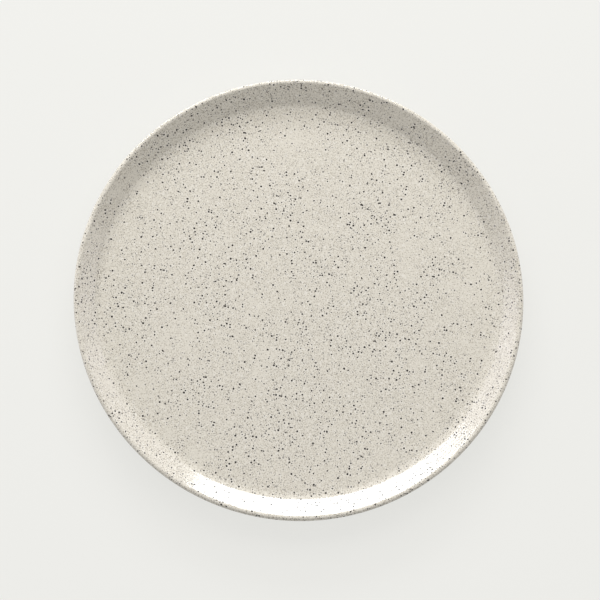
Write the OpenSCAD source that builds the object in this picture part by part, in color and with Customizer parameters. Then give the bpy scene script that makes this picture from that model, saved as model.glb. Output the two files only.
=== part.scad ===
// Coupe dinner plate: a flat well that turns up into a short sloping wall with a rounded rim.
// The fired clay body stands on a bare foot ring, and glaze covers the rest of it.
// Millimetres, +Z up. The origin is the centre of the plane that the foot ring rests on.

/* [Plate] */
// Diameter over the rim
plate_d = 275; // [240:1:320]
// Height from the table to the top of the rim
plate_h = 18; // [16:0.5:28]

/* [Well and wall] */
// Thickness of the base under the flat well, glaze included
base_t = 5.2; // [4:0.1:7]
// Thickness of the wall and its full-round rim, glaze included
wall_t = 3.6; // [2.8:0.1:6]
// Slope of the wall, in degrees from level
wall_slope = 38; // [28:1:55]
// Radius of the hollow where the well turns up into the wall
well_turn_r = 9; // [6:0.5:26]
// Radius of the round where the underside turns up into the wall
under_turn_r = 16; // [8:0.5:22]

/* [Foot ring] */
// Diameter at the middle of the foot ring
foot_d = 178; // [130:1:190]
// Width of the foot ring's clay
foot_w = 4.4; // [3:0.1:7]
// Height of the base's underside above the table
foot_h = 2.8; // [2.4:0.1:4.5]
// Radius of the hollow between the foot ring and the underside
foot_turn_r = 1.2; // [0.4:0.1:1.4]
// Radius of the rounded edges that meet the table
foot_edge_r = 0.8; // [0.3:0.1:1.2]

/* [Glaze] */
// Thickness of the glaze
glaze_t = 0.4; // [0.2:0.05:0.7]
// Height above the table at which the glaze stops on the foot ring
glaze_line_h = 1.4; // [1.2:0.1:2]

/* [Hidden] */
$fn = 180;

// Colours of the bare clay and of the glaze
clay_colour = "#c4b196";
glaze_colour = "#dbd6ca";

// Angle covered by one straight step of a round
round_step = 4;

well_z = foot_h + base_t;
rim_r = wall_t / 2;
rim_centre = [plate_d / 2 - rim_r, plate_h - rim_r];

// The hollow at the root of the foot ring ends above the glaze line
foot_r = foot_d / 2;
foot_root_r = min(foot_turn_r, foot_h - glaze_line_h);

// The hollow round the well ends below the rounded rim, however steep the wall is
well_turn_limit = (rim_centre.y + rim_r * cos(wall_slope) - well_z) / (1 - cos(wall_slope));
well_r = min(well_turn_r, well_turn_limit);

well_turn_centre = turn_centre(well_z + well_r, -rim_r - well_r);
under_turn_centre = turn_centre(foot_h + under_turn_r, rim_r - under_turn_r);

// Centre of a round that meets the wall and a level face.
// z: its height; offset: its distance from the middle of the wall, outwards positive
function turn_centre(z, offset) =
    [rim_centre.x + (offset + (z - rim_centre.y) * cos(wall_slope)) / sin(wall_slope), z];

// Points along a round, from one angle to another
function round_points(centre, r, start, end) =
    let (steps = ceil(abs(end - start) / round_step))
    [for (i = [0 : steps]) let (a = start + (end - start) * i / steps) centre + r * [cos(a), sin(a)]];

function reversed(points) = [for (i = [len(points) - 1 : -1 : 0]) points[i]];

// One flank of the foot ring, from the underside down to the glaze line.
// side: 1 for the outer flank, -1 for the inner one; depth: distance in from the glazed surface
function foot_flank(side, depth) =
    let (flank_x = foot_r + side * (foot_w / 2 + glaze_t - depth))
    let (root_centre = [foot_r + side * (foot_w / 2 + glaze_t + foot_root_r), foot_h - foot_root_r])
    concat(
        round_points(root_centre, foot_root_r + depth, 90, 90 + side * 90),
        [[flank_x, glaze_line_h]]
    );

// Half section of the coated surface: well, wall, rim, outside and the foot ring's outer flank
function coat_line(depth) = concat(
    [[0, well_z - depth]],
    round_points(well_turn_centre, well_r + depth, -90, wall_slope - 90),
    round_points(rim_centre, rim_r - depth, wall_slope + 90, wall_slope - 90),
    round_points(under_turn_centre, under_turn_r - depth, wall_slope - 90, -90),
    foot_flank(1, depth)
);

// Half section of the glazed base inside the foot ring
function base_line(depth) = concat([[0, foot_h + depth]], foot_flank(-1, depth));

// Half section of the bare foot ring below the glaze line, from its outer flank to its inner one
function foot_line() = concat(
    round_points([foot_r + foot_w / 2 - foot_edge_r, foot_edge_r], foot_edge_r, 0, -90),
    round_points([foot_r - foot_w / 2 + foot_edge_r, foot_edge_r], foot_edge_r, -90, -180)
);

// Fired clay: base, wall, rim and foot ring in one piece
module stoneware_body() {
    color(clay_colour)
        rotate_extrude()
            polygon(concat(coat_line(glaze_t), foot_line(), reversed(base_line(glaze_t))));
}

// Glaze over the well, the wall, the rim and the outside, down to the foot ring
module glaze_coat() {
    color(glaze_colour)
        rotate_extrude()
            polygon(concat(coat_line(0), reversed(coat_line(glaze_t))));
}

// Glaze on the base inside the foot ring
module base_glaze() {
    color(glaze_colour)
        rotate_extrude()
            polygon(concat(base_line(0), reversed(base_line(glaze_t))));
}

stoneware_body();
glaze_coat();
base_glaze();
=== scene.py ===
"""A coupe dinner plate in speckled cream glaze, lying on a pale floor in soft studio light."""

from math import atan2, ceil, cos, hypot, pi, radians, sin, tan

import bmesh
import bpy
from mathutils import Matrix, Vector


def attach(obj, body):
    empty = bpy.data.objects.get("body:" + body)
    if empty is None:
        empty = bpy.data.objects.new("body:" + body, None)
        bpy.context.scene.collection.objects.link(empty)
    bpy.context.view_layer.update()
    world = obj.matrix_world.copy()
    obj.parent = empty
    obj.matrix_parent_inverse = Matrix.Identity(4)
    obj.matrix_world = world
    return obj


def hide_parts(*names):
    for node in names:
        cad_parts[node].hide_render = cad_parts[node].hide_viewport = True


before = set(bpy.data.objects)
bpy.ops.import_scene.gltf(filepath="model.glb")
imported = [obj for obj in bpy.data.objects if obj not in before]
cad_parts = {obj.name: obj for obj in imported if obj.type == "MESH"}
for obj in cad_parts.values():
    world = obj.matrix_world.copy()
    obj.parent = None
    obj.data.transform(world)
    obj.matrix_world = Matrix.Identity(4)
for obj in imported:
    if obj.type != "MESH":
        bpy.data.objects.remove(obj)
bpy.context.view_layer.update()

# Sizes of the plate, in metres
PLATE_R = 0.1375
PLATE_H = 0.018
BASE_T = 0.0052
WALL_T = 0.0036
WALL_SLOPE = radians(38)
WELL_TURN_R = 0.009
UNDER_TURN_R = 0.016
FOOT_R = 0.089
FOOT_W = 0.0044
FOOT_H = 0.0028
FOOT_TURN_R = 0.0012
FOOT_EDGE_R = 0.0008
GLAZE_T = 0.0004
GLAZE_LINE_H = 0.0014

WELL_Z = FOOT_H + BASE_T
RIM_R = WALL_T / 2
RIM_CENTRE = Vector((PLATE_R - RIM_R, PLATE_H - RIM_R))

# Unevenness that the potter's hands left: the spiral in the well, the rings on the wall,
# and the sway of the well's edge and of the rim. A rise or fall is a pair of distances from the axis.
SPIRAL_MIDDLE = Vector((0.005, -0.006))
SPIRAL_PITCH = 0.015
SPIRAL_LIFT = 0.000045
SPIRAL_FALL = (0.060, 0.095)
SWAY_LOBES = 2
EDGE_SWAY = 0.0004
EDGE_SWAY_TURN = radians(12)
EDGE_RISE = (0.100, 0.120)
EDGE_FALL = (0.124, 0.136)
RIM_SWAY = 0.0003
RIM_SWAY_TURN = radians(70)
RIM_RISE = (0.105, 0.136)
WALL_RING_PITCH = 0.0016
WALL_RING_LIFT = 0.000006
WALL_RING_RISE = (0.122, 0.125)
WALL_RING_FALL = (0.132, 0.1345)

# Fineness of the meshes: steps round the axis, and lengths of a step along the half section
QUARTER_STEPS = 64
WELL_STEP = 0.0010
WALL_STEP = 0.0003
OUTSIDE_STEP = 0.0008
FOOT_STEP = 0.00015
HIDDEN_STEP = 0.0030
MERGE_DISTANCE = 1e-7

# Places on the maps of the pieces, as shares of a map's side.
# A disc has its middle and its radius, a strip its lower left corner, its width and its height.
MAP_NAME = "OFBake"
STRIP_GAP_SHARE = 0.01
COAT_DISC_SHARES = (0.405, 0.595, 0.395)
COAT_STRIP_SHARES = (0.01, 0.01, 0.98, 0.08)
COAT_STRIPS = 2
HIDDEN_DISC_SHARES = (0.905, 0.30, 0.085)
HIDDEN_STRIP_SHARES = (0.82, 0.42, 0.17, 0.10)
BASE_DISC_SHARES = (0.445, 0.555, 0.435)
BASE_STRIP_SHARES = (0.01, 0.01, 0.98, 0.05)
BASE_HIDDEN_DISC_SHARES = (0.94, 0.13, 0.05)
BASE_HIDDEN_STRIP_SHARES = (0.01, 0.07, 0.60, 0.02)
FOOT_STRIP_SHARES = (0.01, 0.01, 0.98, 0.07)
FOOT_STRIPS = 8
BODY_TOP_SHARES = (0.18, 0.82, 0.16)
BODY_SIDE_SHARES = (0.36, 0.68, 0.28, 0.10)
BODY_BASE_SHARES = (0.82, 0.82, 0.16)
BODY_FLANK_SHARES = (0.36, 0.80, 0.28, 0.10)

# The photograph's view: a little off the plate's axis, and turned about it
VIEW_TILT = radians(11.6)
VIEW_ROLL = radians(12.0)
VIEW_DISTANCE = 1.40
PLATE_WIDTH_PX = 450.1
FRAME_PX = 600
SENSOR_MM = 36.0
RIM_MIDDLE_PX = (299.4, 296.2)

# Distances of the lamps from the middle of the rim
LAMP_DISTANCE = 2.6
FRONT_LAMP_DISTANCE = 1.2

# Floor and world
FLOOR_R = 4.0
FLOOR_STEPS = 96
PAPER_TONE = (0.86, 0.86, 0.84, 1)
SEEN_PAPER_TONE = (0.18, 0.18, 0.175, 1)
SEEN_GLOW_TONE = (1.0, 1.0, 0.965, 1)
SEEN_GLOW_LEVEL = 0.68
WORLD_TONE = (0.985, 0.99, 1.0, 1)
WORLD_LEVEL = 0.31

MM_PER_M = 1000

# Places of the colour sockets on a Mix node, counted from 0
MIX_FIRST = 6
MIX_SECOND = 7
MIX_RESULT = 2

# Spans of a noise that are spread to other levels, and the middle of its colours
NOISE_SPAN = (0.3, 0.7)
MOTTLE_SPAN = (0.25, 0.75)
TOAST_SPAN = (0.4, 0.7)
NOISE_MIDDLE = (0.5, 0.5, 0.5)

# A grain's solid core and its pale rim, as shares of its radius.
# The skew is a power: the higher it is, the more of the grains are small.
GRAIN_CORE_SHARE = 0.87
GRAIN_RIM_SHARE = 2.0
GRAIN_SKEW = 2

# Kinds of grain, with lengths in millimetres: the cell that may hold one, the least and most radius,
# the share of the cells that hold one before drifts change it, and the strength of the faintest
FINE_GRAINS = dict(cell=0.86, least=0.31, most=0.345, share=1.25, faint=0.45)
MIDDLING_GRAINS = dict(cell=1.50, least=0.052, most=0.66, share=0.87, faint=0.43)
DARK_GRAINS = dict(cell=1.75, least=0.26, most=0.74, share=0.58, faint=0.97)
IRON_GRAINS = dict(cell=1.1, least=0.06, most=0.36, share=0.45, faint=0.4)
GROG_GRAINS = dict(cell=0.9, least=0.10, most=0.30, share=0.30, faint=0.3)
NO_DRIFT = 1

# Glaze: sizes of its patterns in millimetres, its colours, and how much each kind of grain covers
GLAZE_IOR = 1.7
WANDER_SIZE = 0.62
WANDER_REACH = 0.235
DRIFT_SIZE = 22
DRIFT_LEVELS = (0.35, 1.65)
MOTTLE_SIZE = 0.9
MOTTLE_LEVELS = (0.87, 1.13)
FLOW_SIZE = 5
GROUND_TONE = (0.735, 0.70, 0.62)
PALE_RIM_TONE = (0.95, 0.93, 0.88, 1)
FINE_TONE = (0.215, 0.178, 0.125, 1)
MIDDLING_TONE = (0.068, 0.050, 0.028, 1)
DARK_TONE = (0.016, 0.010, 0.005, 1)
PALE_RIM_SHARE = 0.5
FINE_SHARE = 0.8
MIDDLING_SHARE = 0.84
GLAZE_ROUGHNESS = (0.12, 0.16)
DARK_ROUGHNESS = 0.12
RIPPLE_LIFT = 0.000008

# Bare clay: sizes of its patterns in millimetres, and its colours
SAND_SIZE = 0.35
TOAST_SIZE = 11
TOAST_SHARE = 0.6
SAND_TONE = (0.44, 0.34, 0.23, 1)
PALE_SAND_TONE = (0.63, 0.52, 0.38, 1)
TOAST_TONE = (0.50, 0.31, 0.17, 1)
GROG_TONE = (0.74, 0.67, 0.56, 1)
IRON_TONE = (0.09, 0.06, 0.04, 1)
CLAY_ROUGHNESS = (0.92, 0.74)
GROG_LIFT_SHARE = 0.5
GRIT_LIFT = 0.00007


def turn_centre(z, offset):
    """Centre of a round that meets the wall and a level face. Offset is outwards from the wall's middle."""
    run = (offset + (z - RIM_CENTRE.y) * cos(WALL_SLOPE)) / sin(WALL_SLOPE)
    return Vector((RIM_CENTRE.x + run, z))


WELL_TURN = turn_centre(WELL_Z + WELL_TURN_R, -RIM_R - WELL_TURN_R)
UNDER_TURN = turn_centre(FOOT_H + UNDER_TURN_R, RIM_R - UNDER_TURN_R)
LEVEL_DOWN = radians(-90)
LEVEL_UP = radians(90)
WALL_INNER = WALL_SLOPE + LEVEL_UP
WALL_OUTER = WALL_SLOPE + LEVEL_DOWN
RIM_SPLIT_X = RIM_CENTRE.x + RIM_R / 2
BASE_SPLIT_X = FOOT_R - FOOT_W / 2 - GLAZE_T - FOOT_TURN_R


def rounded(centre, r, start, end, step):
    """Points along a round of the half section, from one angle to another."""
    count = ceil(abs(end - start) * r / step)
    angles = [start + (end - start) * i / count for i in range(count + 1)]
    return [centre + r * Vector((cos(a), sin(a))) for a in angles]


def joined(step, *stretches):
    """Runs points on in straight lines, in steps, from the end of each stretch to the start of the next."""
    line = list(stretches[0])
    for stretch in stretches[1:]:
        start, end = line[-1], stretch[0]
        count = ceil((end - start).length / step)
        line += [start.lerp(end, i / count) for i in range(1, count)]
        line += stretch
    return line


def foot_flank(side, depth, step):
    """One flank of the foot ring, from the underside to the glaze line: side is 1 outside, -1 inside."""
    clay_x = FOOT_R + side * FOOT_W / 2
    root = Vector((clay_x + side * (GLAZE_T + FOOT_TURN_R), FOOT_H - FOOT_TURN_R))
    turn = rounded(root, FOOT_TURN_R + depth, LEVEL_UP, LEVEL_UP + side * LEVEL_UP, step)
    if depth:
        return turn + [Vector((clay_x, GLAZE_LINE_H))]
    # The glaze ends in a rounded bead on the clay
    bead_h = root.y - GLAZE_LINE_H
    count = ceil(GLAZE_T / step)
    angles = [LEVEL_UP * i / count for i in range(1, count + 1)]
    bead = [Vector((clay_x + side * GLAZE_T * cos(a), root.y - bead_h * sin(a))) for a in angles]
    return turn + bead


def coat_line(depth, well_step=HIDDEN_STEP, wall_step=HIDDEN_STEP,
              outside_step=HIDDEN_STEP, foot_step=HIDDEN_STEP):
    """Half section of the coat, from the middle of the well to the outer flank of the foot ring."""
    middle = [Vector((0, WELL_Z - depth))]
    well_turn = rounded(WELL_TURN, WELL_TURN_R + depth, LEVEL_DOWN, WALL_OUTER, wall_step)
    rim = rounded(RIM_CENTRE, RIM_R - depth, WALL_INNER, WALL_OUTER, wall_step)
    under_turn = rounded(UNDER_TURN, UNDER_TURN_R - depth, WALL_OUTER, LEVEL_DOWN, outside_step)
    flank = foot_flank(1, depth, foot_step)
    face = joined(wall_step, joined(well_step, middle, well_turn), rim)
    return joined(outside_step, face, under_turn, flank)


def base_line(depth, base_step=HIDDEN_STEP, foot_step=HIDDEN_STEP):
    """Half section of the glazed base inside the foot ring."""
    return joined(base_step, [Vector((0, FOOT_H + depth))], foot_flank(-1, depth, foot_step))


def foot_line():
    """Half section of the bare foot ring below the glaze line."""
    outer_edge = Vector((FOOT_R + FOOT_W / 2 - FOOT_EDGE_R, FOOT_EDGE_R))
    inner_edge = Vector((FOOT_R - FOOT_W / 2 + FOOT_EDGE_R, FOOT_EDGE_R))
    outer_round = rounded(outer_edge, FOOT_EDGE_R, 0, LEVEL_DOWN, FOOT_STEP)
    inner_round = rounded(inner_edge, FOOT_EDGE_R, LEVEL_DOWN, -pi, FOOT_STEP)
    return joined(FOOT_STEP, outer_round, inner_round)


def eased(value, low, high):
    """Runs smoothly from 0 to 1 as a value goes from low to high."""
    share = min(1, max(0, (value - low) / (high - low)))
    return share * share * (3 - 2 * share)


def hand_thrown(point):
    """Moves a point of the true round to where the potter's hands left it. The foot ring stays level."""
    r = hypot(point.x, point.y)
    angle = atan2(point.y, point.x)
    near_edge = eased(r, *EDGE_RISE) * (1 - eased(r, *EDGE_FALL))
    aside = EDGE_SWAY * cos(SWAY_LOBES * (angle - EDGE_SWAY_TURN)) * near_edge
    lift = RIM_SWAY * cos(SWAY_LOBES * (angle - RIM_SWAY_TURN)) * eased(r, *RIM_RISE)
    if point.z > WELL_Z - GLAZE_T / 2 and r < SPIRAL_FALL[1]:
        arm = point.xy - SPIRAL_MIDDLE
        ripple = cos(2 * pi * arm.length / SPIRAL_PITCH - atan2(arm.y, arm.x))
        ripple *= eased(arm.length, 0, SPIRAL_PITCH) * (1 - eased(r, *SPIRAL_FALL))
        lift += SPIRAL_LIFT * ripple
    if point.z > WELL_Z and r < WALL_RING_FALL[1]:
        on_wall = eased(r, *WALL_RING_RISE) * (1 - eased(r, *WALL_RING_FALL))
        lift += WALL_RING_LIFT * cos(2 * pi * r / WALL_RING_PITCH - angle) * on_wall
    stretch = 1 + aside / max(r, GLAZE_T)
    return Vector((point.x * stretch, point.y * stretch, point.z + lift))


def new_shell():
    """An empty mesh with a map. Its points remember how far along the half section they lie."""
    bm = bmesh.new()
    bm.verts.layers.float.new("along")
    bm.loops.layers.uv.new(MAP_NAME)
    return bm


def spin_line(bm, line):
    """Spins a half section about the axis: a quarter turn, then three copies of it. Returns the faces."""
    before = set(bm.faces)
    along = bm.verts.layers.float["along"]
    points = [bm.verts.new((p.x, 0, p.y)) for p in line]
    for last, point in zip(points, points[1:]):
        point[along] = last[along] + (point.co - last.co).length
    edges = [bm.edges.new(pair) for pair in zip(points, points[1:])]
    bmesh.ops.spin(bm, geom=points + edges, axis=(0, 0, 1), angle=pi / 2, steps=QUARTER_STEPS)
    quarter = set(bm.faces) - before
    edges = {edge for face in quarter for edge in face.edges}
    points = {point for face in quarter for point in face.verts}
    geometry = list(quarter) + list(edges) + list(points)
    bmesh.ops.spin(bm, geom=geometry, axis=(0, 0, 1), angle=3 * pi / 2, steps=3, use_duplicate=True)
    return set(bm.faces) - before


def lay_disc(bm, faces, shares):
    """Lays faces on a disc of the map, as seen along the plate's axis."""
    places = bm.loops.layers.uv[MAP_NAME]
    reach = max(point.co.xy.length for face in faces for point in face.verts)
    middle = Vector(shares[:2])
    scale = shares[2] / reach
    for corner in (corner for face in faces for corner in face.loops):
        corner[places].uv = middle + corner.vert.co.xy * scale


def lay_strips(bm, faces, count, shares):
    """Unrolls a ring of faces into strips of the map, one above the other."""
    places = bm.loops.layers.uv[MAP_NAME]
    along = bm.verts.layers.float["along"]
    end = max(point[along] for face in faces for point in face.verts)
    left, foot, width, height = shares
    for face in faces:
        middle = face.calc_center_median()
        face_turn = atan2(middle.y, middle.x) / (2 * pi) % 1
        strip = int(face_turn * count)
        for corner in face.loops:
            turn = atan2(corner.vert.co.y, corner.vert.co.x) / (2 * pi)
            turn += round(face_turn - turn)
            across = left + width * (turn * count - strip)
            up = foot + (height + STRIP_GAP_SHARE) * strip + height * corner.vert[along] / end
            corner[places].uv = (across, up)


def parted(line, x):
    """Parts a half section where it first passes a radius. Both parts hold the point there."""
    turn = next(i for i, point in enumerate(line) if point.x > x)
    return line[:turn + 1], line[turn:]


def make_piece(name, bm, material):
    """Closes a spun shell and makes it the piece that stands for the node of the same name."""
    bmesh.ops.remove_doubles(bm, verts=bm.verts, dist=MERGE_DISTANCE)
    for point in bm.verts:
        point.co = hand_thrown(point.co)
    bmesh.ops.recalc_face_normals(bm, faces=bm.faces)
    for face in bm.faces:
        face.smooth = True
    bm.verts.layers.float.remove(bm.verts.layers.float["along"])
    mesh = bpy.data.meshes.new(name)
    bm.to_mesh(mesh)
    bm.free()
    mesh.materials.append(material)
    piece = bpy.data.objects.new(name, mesh)
    bpy.context.collection.objects.link(piece)
    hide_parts(name)
    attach(piece, "root")


def add(tree, kind, inputs=None, **settings):
    """Adds a node, sets it, and gives each named input a value or a link."""
    node = tree.nodes.new(kind)
    for name, value in settings.items():
        setattr(node, name, value)
    for name, value in (inputs or {}).items():
        if isinstance(value, bpy.types.NodeSocket):
            tree.links.new(value, node.inputs[name])
        else:
            node.inputs[name].default_value = value
    return node


def calc(tree, operation, *values):
    """One sum on values or sockets."""
    node = add(tree, "ShaderNodeMath", dict(enumerate(values)), operation=operation)
    return node.outputs[0]


def vector(tree, operation, *values, scale=None):
    """One sum on vectors."""
    inputs = dict(enumerate(values))
    if scale is not None:
        inputs["Scale"] = scale
    return add(tree, "ShaderNodeVectorMath", inputs, operation=operation).outputs[0]


def noise(tree, place, size, detail):
    """Smooth noise whose lumps have about the given size."""
    return add(tree, "ShaderNodeTexNoise", {"Vector": place, "Scale": 1 / size, "Detail": detail})


def blend(tree, share, first, second):
    """Mixes two colours by a share."""
    inputs = {0: share, MIX_FIRST: first, MIX_SECOND: second}
    return add(tree, "ShaderNodeMix", inputs, data_type="RGBA").outputs[MIX_RESULT]


def spread(tree, value, low, high, to_low, to_high):
    """Maps a value from one span to another, held at its ends."""
    inputs = {"Value": value, "From Min": low, "From Max": high, "To Min": to_low, "To Max": to_high}
    return add(tree, "ShaderNodeMapRange", inputs).outputs["Result"]


def grains(tree, place, gather, cell, least, most, share, faint):
    """Grains where the surface cuts them: how strong a grain, and the rim round it, is at each point."""
    cells = add(tree, "ShaderNodeTexVoronoi", {"Vector": place, "Scale": 1 / cell})
    chance = add(tree, "ShaderNodeSeparateColor", {"Color": cells.outputs["Color"]})
    there = calc(tree, "LESS_THAN", chance.outputs["Red"], calc(tree, "MULTIPLY", gather, share))
    strength = calc(tree, "MULTIPLY", there, spread(tree, chance.outputs["Blue"], 0, 1, faint, 1))
    skew = calc(tree, "POWER", chance.outputs["Green"], GRAIN_SKEW)
    radius = spread(tree, skew, 0, 1, least / cell, most / cell)
    core = calc(tree, "MULTIPLY", radius, GRAIN_CORE_SHARE)
    reach = calc(tree, "MULTIPLY", radius, GRAIN_RIM_SHARE)
    cover = spread(tree, cells.outputs["Distance"], radius, core, 0, 1)
    rim = spread(tree, cells.outputs["Distance"], radius, reach, 1, 0)
    return calc(tree, "MULTIPLY", cover, strength), calc(tree, "MULTIPLY", rim, strength)


def start_material(name):
    """A material whose nodes start with the piece's own coordinates in millimetres."""
    material = bpy.data.materials.new(name)
    material.use_nodes = True
    tree = material.node_tree
    coordinates = add(tree, "ShaderNodeTexCoord")
    place = vector(tree, "SCALE", coordinates.outputs["Object"], scale=MM_PER_M)
    return material, tree, tree.nodes["Principled BSDF"], place


def glaze_material():
    """Glossy cream glaze with grains of three sizes melted into it, the larger ones in a paler rim."""
    material, tree, shader, place = start_material("speckled_cream_glaze")
    wobble = noise(tree, place, WANDER_SIZE, detail=2).outputs["Color"]
    wander = vector(tree, "SUBTRACT", wobble, NOISE_MIDDLE)
    ragged = vector(tree, "ADD", place, vector(tree, "SCALE", wander, scale=WANDER_REACH))
    drift = noise(tree, place, DRIFT_SIZE, detail=2).outputs["Fac"]
    gather = spread(tree, drift, *NOISE_SPAN, *DRIFT_LEVELS)
    fine, _ = grains(tree, ragged, gather, **FINE_GRAINS)
    middling, middling_rim = grains(tree, ragged, gather, **MIDDLING_GRAINS)
    dark, dark_rim = grains(tree, ragged, gather, **DARK_GRAINS)
    mottle = noise(tree, place, MOTTLE_SIZE, detail=2).outputs["Fac"]
    level = spread(tree, mottle, *MOTTLE_SPAN, *MOTTLE_LEVELS)
    colour = vector(tree, "SCALE", GROUND_TONE, scale=level)
    pale = calc(tree, "MULTIPLY", calc(tree, "MAXIMUM", middling_rim, dark_rim), PALE_RIM_SHARE)
    colour = blend(tree, pale, colour, PALE_RIM_TONE)
    colour = blend(tree, calc(tree, "MULTIPLY", fine, FINE_SHARE), colour, FINE_TONE)
    colour = blend(tree, calc(tree, "MULTIPLY", middling, MIDDLING_SHARE), colour, MIDDLING_TONE)
    colour = blend(tree, dark, colour, DARK_TONE)
    tree.links.new(colour, shader.inputs["Base Color"])
    flow = noise(tree, place, FLOW_SIZE, detail=2).outputs["Fac"]
    gloss = spread(tree, flow, *NOISE_SPAN, *GLAZE_ROUGHNESS)
    roughness = calc(tree, "ADD", gloss, calc(tree, "MULTIPLY", dark, DARK_ROUGHNESS))
    tree.links.new(roughness, shader.inputs["Roughness"])
    ripple = add(tree, "ShaderNodeBump", {"Height": flow, "Strength": 1.0, "Distance": RIPPLE_LIFT})
    tree.links.new(ripple.outputs["Normal"], shader.inputs["Normal"])
    shader.inputs["IOR"].default_value = GLAZE_IOR
    return material


def clay_material():
    """Bare fired clay: sandy buff with toasted clouds, dark and pale grains, and a matt, gritty skin."""
    material, tree, shader, place = start_material("bare_stoneware")
    sand = noise(tree, place, SAND_SIZE, detail=5).outputs["Fac"]
    clouds = noise(tree, place, TOAST_SIZE, detail=3).outputs["Fac"]
    toast = spread(tree, clouds, *TOAST_SPAN, 0, TOAST_SHARE)
    iron, _ = grains(tree, place, NO_DRIFT, **IRON_GRAINS)
    grog, _ = grains(tree, place, NO_DRIFT, **GROG_GRAINS)
    colour = blend(tree, spread(tree, sand, *NOISE_SPAN, 0, 1), SAND_TONE, PALE_SAND_TONE)
    colour = blend(tree, toast, colour, TOAST_TONE)
    colour = blend(tree, grog, colour, GROG_TONE)
    colour = blend(tree, iron, colour, IRON_TONE)
    tree.links.new(colour, shader.inputs["Base Color"])
    tree.links.new(spread(tree, sand, *NOISE_SPAN, *CLAY_ROUGHNESS), shader.inputs["Roughness"])
    grit = calc(tree, "ADD", sand, calc(tree, "MULTIPLY", grog, GROG_LIFT_SHARE))
    skin = add(tree, "ShaderNodeBump", {"Height": grit, "Strength": 1.0, "Distance": GRIT_LIFT})
    tree.links.new(skin.outputs["Normal"], shader.inputs["Normal"])
    return material


def glaze_coat(material):
    """The coat over the well, wall, rim and outside."""
    bm = new_shell()
    face, outside = parted(coat_line(0, WELL_STEP, WALL_STEP, OUTSIDE_STEP, FOOT_STEP), RIM_SPLIT_X)
    lay_disc(bm, spin_line(bm, face), COAT_DISC_SHARES)
    lay_strips(bm, spin_line(bm, outside), COAT_STRIPS, COAT_STRIP_SHARES)
    top, side = parted(coat_line(GLAZE_T), RIM_SPLIT_X)
    lay_disc(bm, spin_line(bm, top), HIDDEN_DISC_SHARES)
    lay_strips(bm, spin_line(bm, side), 1, HIDDEN_STRIP_SHARES)
    make_piece("glaze_coat", bm, material)


def base_glaze(material):
    """The glazed disc inside the foot ring."""
    bm = new_shell()
    disc, flank = parted(base_line(0, WELL_STEP, FOOT_STEP), BASE_SPLIT_X)
    lay_disc(bm, spin_line(bm, disc), BASE_DISC_SHARES)
    lay_strips(bm, spin_line(bm, flank), 1, BASE_STRIP_SHARES)
    top, side = parted(base_line(GLAZE_T), BASE_SPLIT_X)
    lay_disc(bm, spin_line(bm, top), BASE_HIDDEN_DISC_SHARES)
    lay_strips(bm, spin_line(bm, side), 1, BASE_HIDDEN_STRIP_SHARES)
    make_piece("base_glaze", bm, material)


def stoneware_body(material):
    """The fired clay, of which only the foot ring shows."""
    bm = new_shell()
    top, side = parted(coat_line(GLAZE_T), RIM_SPLIT_X)
    base, flank = parted(base_line(GLAZE_T), BASE_SPLIT_X)
    lay_disc(bm, spin_line(bm, top), BODY_TOP_SHARES)
    lay_strips(bm, spin_line(bm, side), 1, BODY_SIDE_SHARES)
    foot = joined(FOOT_STEP, side[-1:], foot_line(), flank[-1:])
    lay_strips(bm, spin_line(bm, foot), FOOT_STRIPS, FOOT_STRIP_SHARES)
    lay_strips(bm, spin_line(bm, flank), 1, BODY_FLANK_SHARES)
    lay_disc(bm, spin_line(bm, base), BODY_BASE_SHARES)
    make_piece("stoneware_body", bm, material)


def from_photo(azimuth, elevation):
    """A direction seen in the photograph, given in the plate's frame. Elevation is above the rim."""
    turn = Matrix.Rotation(VIEW_ROLL, 3, "Z")
    level = cos(elevation)
    return turn @ Vector((level * cos(azimuth), level * sin(azimuth), sin(elevation)))


def add_camera():
    """Camera at the photograph's angle, with the rim where the photograph has it."""
    data = bpy.data.cameras.new("camera")
    frame_width = 2 * PLATE_R * FRAME_PX / PLATE_WIDTH_PX
    data.sensor_width = SENSOR_MM
    data.lens = SENSOR_MM * VIEW_DISTANCE / frame_width
    camera = bpy.data.objects.new("camera", data)
    bpy.context.collection.objects.link(camera)
    bpy.context.scene.camera = camera
    turn = Matrix.Rotation(VIEW_TILT, 4, "X") @ Matrix.Rotation(VIEW_ROLL, 4, "Z")
    scale = frame_width / FRAME_PX
    across = FRAME_PX / 2 - RIM_MIDDLE_PX[0]
    up = RIM_MIDDLE_PX[1] - FRAME_PX / 2
    away = Matrix.Translation(Vector((across, up, VIEW_DISTANCE / scale)) * scale)
    camera.matrix_world = Matrix.Translation(Vector((0, 0, RIM_CENTRE.y))) @ turn @ away


def add_softbox(name, azimuth, elevation, across, upright, glow, colour,
                distance=LAMP_DISTANCE, mirrored=True, lights=True):
    """A soft lamp that faces the plate from a direction seen in the photograph.

    Its direction and its sizes are angles in degrees. Glow is how bright its face is, where 1 is white.
    Mirrored says whether gloss shows the lamp, and lights whether matt colour takes light from it.
    """
    width = 2 * distance * tan(radians(across) / 2)
    height = 2 * distance * tan(radians(upright) / 2)
    data = bpy.data.lights.new(name, "AREA")
    data.shape = "RECTANGLE"
    data.size = width
    data.size_y = height
    data.energy = pi * width * height * glow
    data.color = colour
    lamp = bpy.data.objects.new(name, data)
    bpy.context.collection.objects.link(lamp)
    direction = from_photo(radians(azimuth), radians(elevation))
    lamp.location = Vector((0, 0, RIM_CENTRE.y)) + distance * direction
    lamp.rotation_euler = (-direction).to_track_quat("-Z", "Y").to_euler()
    lamp.visible_camera = False
    lamp.visible_glossy = mirrored
    lamp.visible_diffuse = lights


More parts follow.
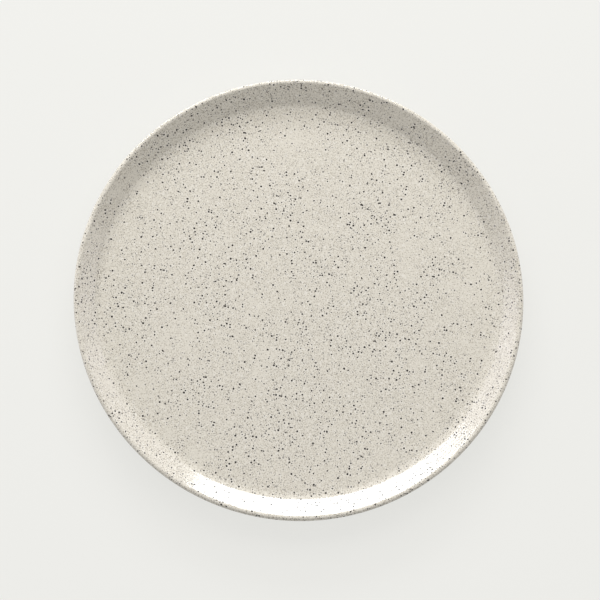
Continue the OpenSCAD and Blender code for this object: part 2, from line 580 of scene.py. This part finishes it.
def add_world():
    """Even light from all round."""
    world = bpy.data.worlds.new("studio")
    bpy.context.scene.world = world
    world.use_nodes = True
    background = world.node_tree.nodes["Background"]
    background.inputs["Color"].default_value = WORLD_TONE
    background.inputs["Strength"].default_value = WORLD_LEVEL


def floor_material():
    """Pale paper. It glows where it is seen, so that the shadow and the fall-off of light stay soft."""
    material = bpy.data.materials.new("pale_paper")
    material.use_nodes = True
    tree = material.node_tree
    tree.nodes.remove(tree.nodes["Principled BSDF"])
    path = add(tree, "ShaderNodeLightPath")
    seen = calc(tree, "MAXIMUM", path.outputs["Is Camera Ray"], path.outputs["Is Glossy Ray"])
    seen = calc(tree, "MAXIMUM", seen, path.outputs["Is Transmission Ray"])
    paper = add(tree, "ShaderNodeBsdfDiffuse", {"Color": PAPER_TONE})
    shade = add(tree, "ShaderNodeBsdfDiffuse", {"Color": SEEN_PAPER_TONE})
    glow = add(tree, "ShaderNodeEmission", {"Color": SEEN_GLOW_TONE, "Strength": SEEN_GLOW_LEVEL})
    lit = add(tree, "ShaderNodeAddShader", {0: shade.outputs[0], 1: glow.outputs[0]})
    mixed = add(tree, "ShaderNodeMixShader", {0: seen, 1: paper.outputs[0], 2: lit.outputs[0]})
    tree.links.new(mixed.outputs[0], tree.nodes["Material Output"].inputs["Surface"])
    material.cycles.emission_sampling = "NONE"
    return material


def add_floor():
    """Pale floor under the plate."""
    bm = bmesh.new()
    bmesh.ops.create_circle(bm, cap_ends=True, radius=FLOOR_R, segments=FLOOR_STEPS)
    mesh = bpy.data.meshes.new("floor")
    bm.to_mesh(mesh)
    bm.free()
    mesh.materials.append(floor_material())
    floor = bpy.data.objects.new("floor", mesh)
    bpy.context.collection.objects.link(floor)


add_camera()
glaze = glaze_material()
glaze_coat(glaze)
base_glaze(glaze)
stoneware_body(clay_material())
add_floor()
add_world()
add_softbox("key_softbox", azimuth=97, elevation=9.5, across=64, upright=12, glow=9.0,
            colour=(0.94, 0.97, 1.0), lights=False)
add_softbox("top_softbox", azimuth=94, elevation=22, across=42, upright=12, glow=12.5,
            colour=(0.97, 0.98, 1.0), mirrored=False)
add_softbox("upper_left_softbox", azimuth=142, elevation=12, across=26, upright=14, glow=1.2,
            colour=(0.90, 0.88, 1.0))
add_softbox("upper_right_softbox", azimuth=44, elevation=12, across=34, upright=14, glow=0.6,
            colour=(0.97, 0.90, 1.0))
add_softbox("left_softbox", azimuth=175, elevation=14, across=44, upright=12, glow=1.9,
            colour=(0.95, 0.91, 1.0))
add_softbox("right_softbox", azimuth=8, elevation=14, across=44, upright=12, glow=0.6,
            colour=(0.98, 0.92, 1.0))
add_softbox("front_softbox", azimuth=92, elevation=50, across=90, upright=36, glow=1.76,
            colour=(1.0, 0.97, 0.91), distance=FRONT_LAMP_DISTANCE, mirrored=False)
add_softbox("high_softbox", azimuth=270, elevation=75, across=110, upright=40, glow=0.4,
            colour=(1.0, 0.97, 0.92))

bpy.context.scene.view_settings.view_transform = "Standard"
